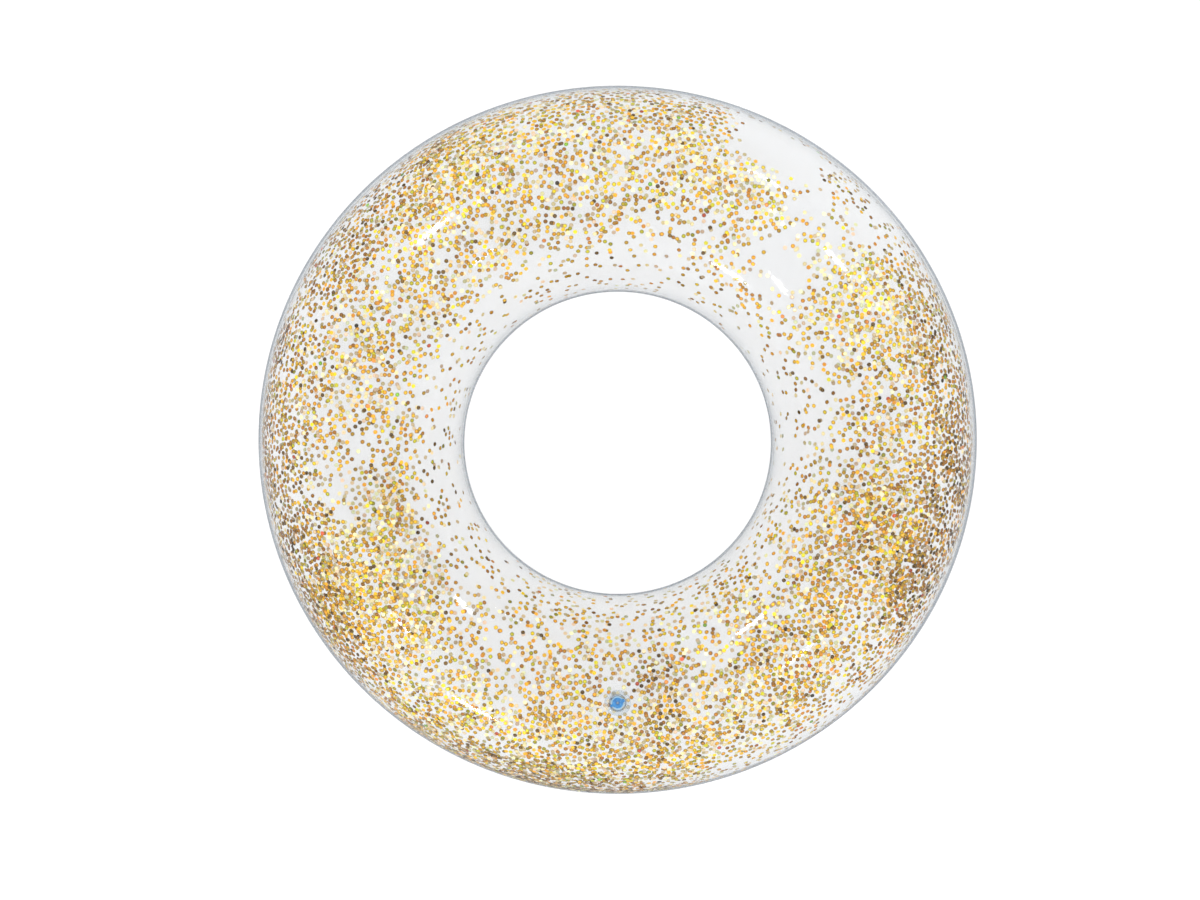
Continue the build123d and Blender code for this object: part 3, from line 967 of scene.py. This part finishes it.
# %% Boot
def boot_profile():
    """The boot's wall, outside down to the collar and back up the inside, in metres."""
    wall, rim_top, rim_bottom, floor_at = 0.7, -0.7, -2.4, -14.2
    rim_radius, floor_radius, collar = boot_rim_radius / MM, boot_rim_radius / MM - 1.6, 7.4
    corner_radius, ripple, ripples, thinning = 1.5, 0.16, 3, 2.0
    outside = [(rim_radius, rim_top - 0.1), (rim_radius, rim_bottom)]
    for share in np.linspace(0, 1, 30)[1:-3]:
        swell = ripple * sin(share * tau * ripples) * sin(share * pi)
        radius = rim_radius + (floor_radius - rim_radius) * share + swell
        outside.append((radius, rim_bottom + (floor_at - rim_bottom) * share))
    for angle in np.linspace(0, pi / 2, 7):
        radius = floor_radius - corner_radius * (1 - cos(angle))
        outside.append((radius, floor_at + corner_radius * (1 - sin(angle))))
    outside.append((collar, floor_at))
    inside = []
    for radius, height in reversed(outside[1:]):
        if height == floor_at:
            inside.append((radius, floor_at + wall))
        elif height > floor_at + thinning:
            inside.append((radius - wall, max(height, floor_at + wall)))
        else:
            raised = height + wall * (1 - (height - floor_at) / thinning)
            inside.append((radius - wall, raised))
    inside.append((rim_radius - wall, rim_top - 0.1))
    lip = [(rim_radius - wall + 0.1, rim_top), (rim_radius - 0.1, rim_top)]
    return [(radius * MM, height * MM) for radius, height in outside + inside + lip]


boot = revolved("valve_boot_wall", boot_profile(), round_valve, clear_valve, 128)
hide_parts("valve_boot")
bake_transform(boot)


# %% Blue soft PVC
def painted_glint(nodes, links, middle, axis):
    """Painted glint: 1 beside an axis in the piece's own place, and 0 further out."""
    solid, faded = 1.3 * MM, 2.0 * MM
    place = nodes.new("ShaderNodeTexCoord").outputs["Object"]

    def vector_maths(operation, first, second=None):
        node = nodes.new("ShaderNodeVectorMath")
        node.operation = operation
        links.new(first, node.inputs[0])
        if second is not None:
            node.inputs[1].default_value = second
        return node.outputs["Value" if operation == "LENGTH" else "Vector"]

    from_middle = vector_maths("SUBTRACT", place, middle)
    distance = vector_maths("LENGTH", vector_maths("CROSS_PRODUCT", from_middle, axis))
    fade = nodes.new("ShaderNodeMapRange")
    fade.inputs["From Min"].default_value = solid
    fade.inputs["From Max"].default_value = faded
    fade.inputs["To Min"].default_value = 0.9
    fade.inputs["To Max"].default_value = 0.0
    links.new(distance, fade.inputs["Value"])
    return fade.outputs["Result"]


def blue_pvc(name, deep, light, middle, axis):
    """Cloudy blue soft PVC with hazy scuffs and a painted glint, a pale spot on its axis."""
    material, nodes, links, shader = new_material(name)
    surface = use_group(
        material, soft_pvc, ripple_size=700.0, ripple_depth=1.0, scuff_size=260.0,
        scuff_amount=0.7, smooth_roughness=0.22, scuffed_roughness=0.45,
    )
    cloud = nodes.new("ShaderNodeTexNoise")
    cloud.inputs["Scale"].default_value = 120.0
    cloud.inputs["Detail"].default_value = 4.0
    links.new(nodes.new("ShaderNodeTexCoord").outputs["Object"], cloud.inputs["Vector"])
    ramp = nodes.new("ShaderNodeValToRGB")
    ramp.color_ramp.elements[0].position = 0.3
    ramp.color_ramp.elements[0].color = (*deep, 1.0)
    ramp.color_ramp.elements[1].position = 0.75
    ramp.color_ramp.elements[1].color = (*light, 1.0)
    links.new(cloud.outputs["Fac"], ramp.inputs["Fac"])
    worn = colour_mix(
        nodes, links, surface.outputs["Haze"], ramp.outputs["Color"], (0.10, 0.34, 0.56)
    )
    # painted highlight: a pale spot round the stopper's axis stands in for the glint in its dimple
    glint = painted_glint(nodes, links, middle, axis)
    glinted = colour_mix(nodes, links, glint, worn, (0.86, 0.94, 0.98))
    links.new(glinted, shader.inputs["Base Color"])
    links.new(surface.outputs["Roughness"], shader.inputs["Roughness"])
    normal = bump_from(nodes, links, surface.outputs["Height"], 0.2, 0.0003)
    links.new(normal, shader.inputs["Normal"])
    shader.inputs["Coat Weight"].default_value = 0.3
    shader.inputs["Coat Roughness"].default_value = 0.15
    return material


stopper_place = frame["nodes"]["stopper"].matrix_world.inverted()
blue_stopper = blue_pvc(
    "blue_soft_pvc", (0.004, 0.10, 0.28), (0.014, 0.18, 0.42),
    stopper_place @ valve_middle, stopper_place.to_3x3() @ valve_up,
)
finishes = {
    "valve_stem": pale_blue_valve,
    "strap_ring": blue_stopper,
    "stopper": blue_stopper,
    "check_flap": clear_valve,
}
for node, finish in finishes.items():
    for material_slot in frame["nodes"][node].material_slots:
        material_slot.material = finish
    print(node, "is now", finish.name)
